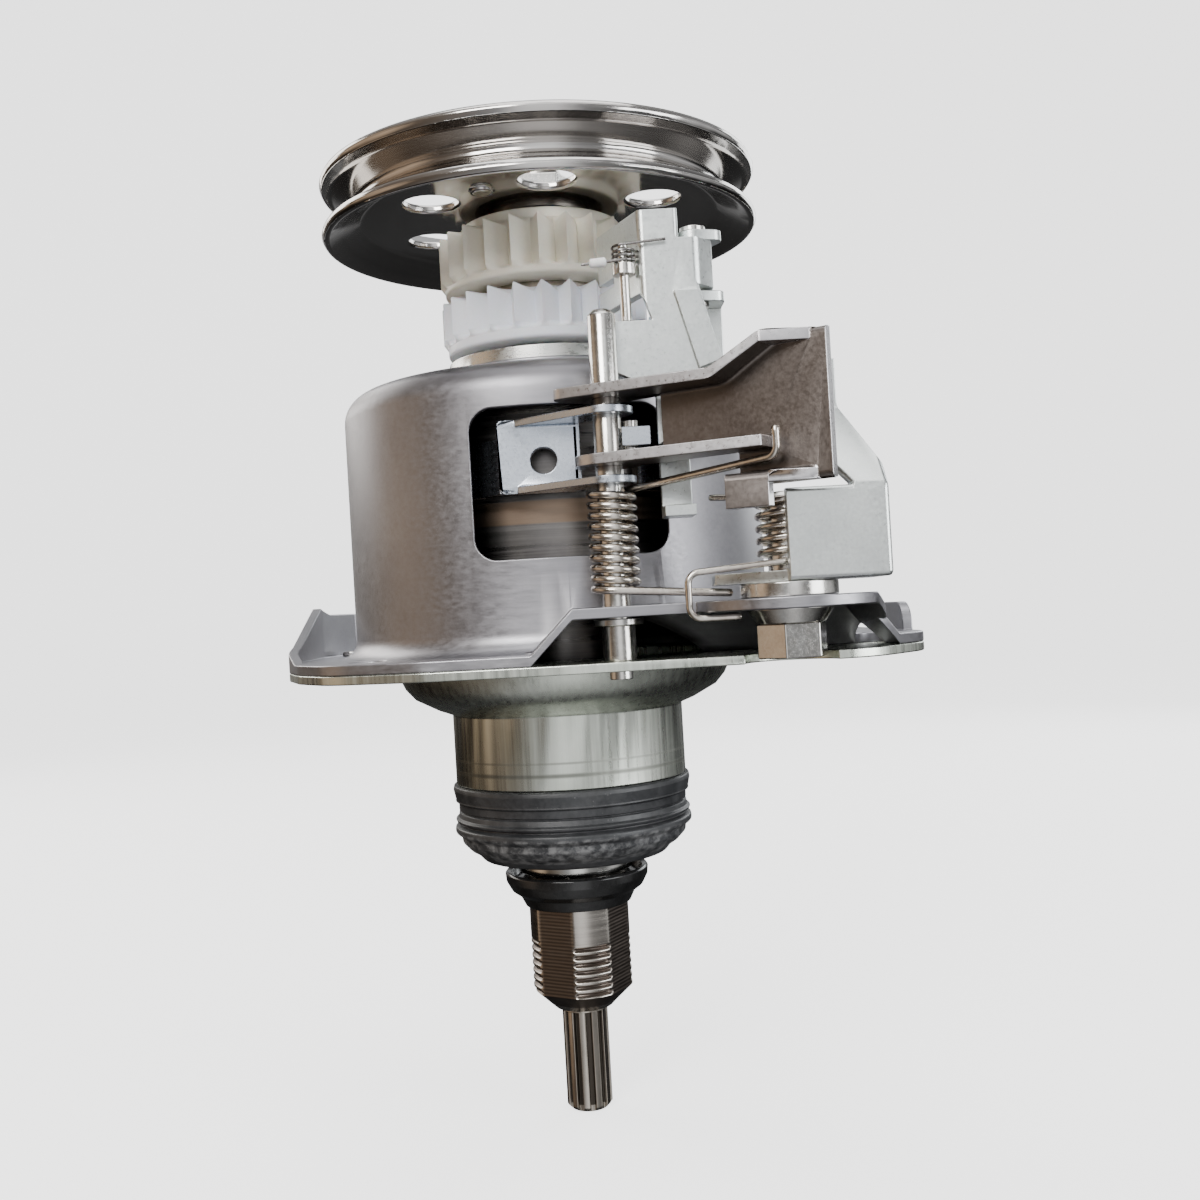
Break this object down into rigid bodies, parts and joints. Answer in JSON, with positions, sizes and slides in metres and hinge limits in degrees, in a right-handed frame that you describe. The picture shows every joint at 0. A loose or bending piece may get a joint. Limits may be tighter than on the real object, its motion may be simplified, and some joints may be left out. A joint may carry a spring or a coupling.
{
  "type": "washing machine clutch",
  "caption": "Belt driven washing machine clutch: pulley on top, drum case with brake lever and pawl, flange, bearing seat, rubber seal and splined shaft below.",
  "frame": {"origin": "on the main axis, in the plane where the round bearing seat meets the housing cup", "axes": "+Z along the main axis to the belt pulley, -Y to the side with the brake lever, +X to the lever's free end"},
  "size_m": [0.146, 0.152, 0.238],
  "materials": {
    "zinc_housing": "bright zinc plated pressed steel with drawing streaks",
    "case_steel": "dull brushed sheet steel",
    "zinc_sheet": "pale zinc plated sheet",
    "lever_steel": "zinc plated sheet with bright sheared edges",
    "pulley_zinc": "glossy zinc plated rolled sheet",
    "bright_pin": "polished plated steel",
    "spring_wire": "plated spring wire",
    "machined": "turned steel",
    "cast_drum": "turned iron",
    "bearing_steel": "polished bearing steel",
    "seal_rubber": "dusty black rubber",
    "ring_rubber": "glossy black rubber",
    "cream_plastic": "cream moulded plastic",
    "white_plastic": "white moulded plastic",
    "lining": "woven brake lining",
    "bronze": "sintered bronze"
  },
  "bodies": {
    "housing": {"bearing_housing": "zinc_housing", "case_shell": "case_steel", "tie_rivets": "bright_pin", "water_seal": "seal_rubber", "lower_bearing_outer": "bearing_steel", "lower_bearing_balls": "bearing_steel", "upper_bearing_outer": "bearing_steel", "upper_bearing_balls": "bearing_steel", "pivot_pin": "bright_pin", "pin_clip": "bright_pin", "brake_spring": "spring_wire", "brake_band": "zinc_sheet", "band_lining": "lining", "band_clevis": "zinc_sheet", "pawl_bracket": "zinc_sheet", "bracket_bolt": "bright_pin", "cone_washer": "bright_pin", "bolt_washer": "bright_pin", "pawl_pin": "bright_pin", "pawl_clip": "bright_pin", "pawl_spring": "spring_wire"},
    "drum": {"spin_tube": "machined", "seal_sleeve": "bearing_steel", "v_ring": "ring_rubber", "shaft_seal": "ring_rubber", "tube_bushes": "bronze", "lower_bearing_inner": "bearing_steel", "brake_drum": "cast_drum", "drum_cover": "machined", "cover_screws": "bright_pin", "ring_gear": "machined", "sleeve_bushes": "bronze", "upper_bearing_inner": "bearing_steel", "lower_ratchet": "white_plastic", "clutch_spring": "spring_wire"},
    "trip_wheel": {"upper_ratchet": "cream_plastic"},
    "input": {"input_shaft": "machined", "pulley_hub": "machined", "pulley": "pulley_zinc", "pulley_washer": "bright_pin", "pulley_nut": "bright_pin"},
    "wash": {"wash_shaft": "machined", "planet_carrier": "machined", "carrier_ring": "machined", "planet_pins": "bright_pin"},
    "planet_a": {"planet_1": "machined"},
    "planet_b": {"planet_2": "machined"},
    "planet_c": {"planet_3": "machined"},
    "planet_d": {"planet_4": "machined"},
    "lever": {"brake_lever": "lever_steel", "offset_pin": "bright_pin"},
    "pawl": {"pawl_arm": "zinc_sheet", "trip_pin": "bright_pin", "trip_spring": "spring_wire"}
  },
  "joints": [
    {"name": "drum_spin", "type": "hinge", "parent": "housing", "child": "drum", "pos_m": [0, 0, 0.04], "axis": [0, 0, 1], "continuous": true},
    {"name": "trip_wheel_turn", "type": "hinge", "parent": "drum", "child": "trip_wheel", "pos_m": [0, 0, 0.11], "axis": [0, 0, 1], "range_deg": [0, 4], "stiffness_Nm_per_rad": 0.05, "deforming": ["clutch_spring"]},
    {"name": "pulley_spin", "type": "hinge", "parent": "drum", "child": "input", "pos_m": [0, 0, 0.12], "axis": [0, 0, 1], "continuous": true},
    {"name": "wash_spin", "type": "hinge", "parent": "drum", "child": "wash", "pos_m": [0, 0, 0], "axis": [0, 0, 1], "continuous": true},
    {"name": "planet_a_spin", "type": "hinge", "parent": "wash", "child": "planet_a", "pos_m": [0.017, 0, 0.042], "axis": [0, 0, 1], "continuous": true},
    {"name": "planet_b_spin", "type": "hinge", "parent": "wash", "child": "planet_b", "pos_m": [0, 0.017, 0.042], "axis": [0, 0, 1], "continuous": true},
    {"name": "planet_c_spin", "type": "hinge", "parent": "wash", "child": "planet_c", "pos_m": [-0.017, 0, 0.042], "axis": [0, 0, 1], "continuous": true},
    {"name": "planet_d_spin", "type": "hinge", "parent": "wash", "child": "planet_d", "pos_m": [0, -0.017, 0.042], "axis": [0, 0, 1], "continuous": true},
    {"name": "lever_swing", "type": "hinge", "parent": "housing", "child": "lever", "pos_m": [0.0117, -0.058, 0.06], "axis": [0, 0, 1], "range_deg": [-2, 7], "stiffness_Nm_per_rad": 0.4, "deforming": ["brake_spring"]},
    {"name": "pawl_swing", "type": "hinge", "parent": "housing", "child": "pawl", "pos_m": [0.033, -0.049, 0.097], "axis": [0, 0, 1], "range_deg": [-7, 2], "deforming": ["pawl_spring"]}
  ],
  "couplings": [
    {"joint": "wash_spin", "follows": "pulley_spin", "ratio": 0.20588},
    {"joint": "planet_a_spin", "follows": "pulley_spin", "ratio": -0.55588},
    {"joint": "planet_b_spin", "follows": "pulley_spin", "ratio": -0.55588},
    {"joint": "planet_c_spin", "follows": "pulley_spin", "ratio": -0.55588},
    {"joint": "planet_d_spin", "follows": "pulley_spin", "ratio": -0.55588},
    {"joint": "pawl_swing", "follows": "lever_swing", "ratio": -1}
  ]
}
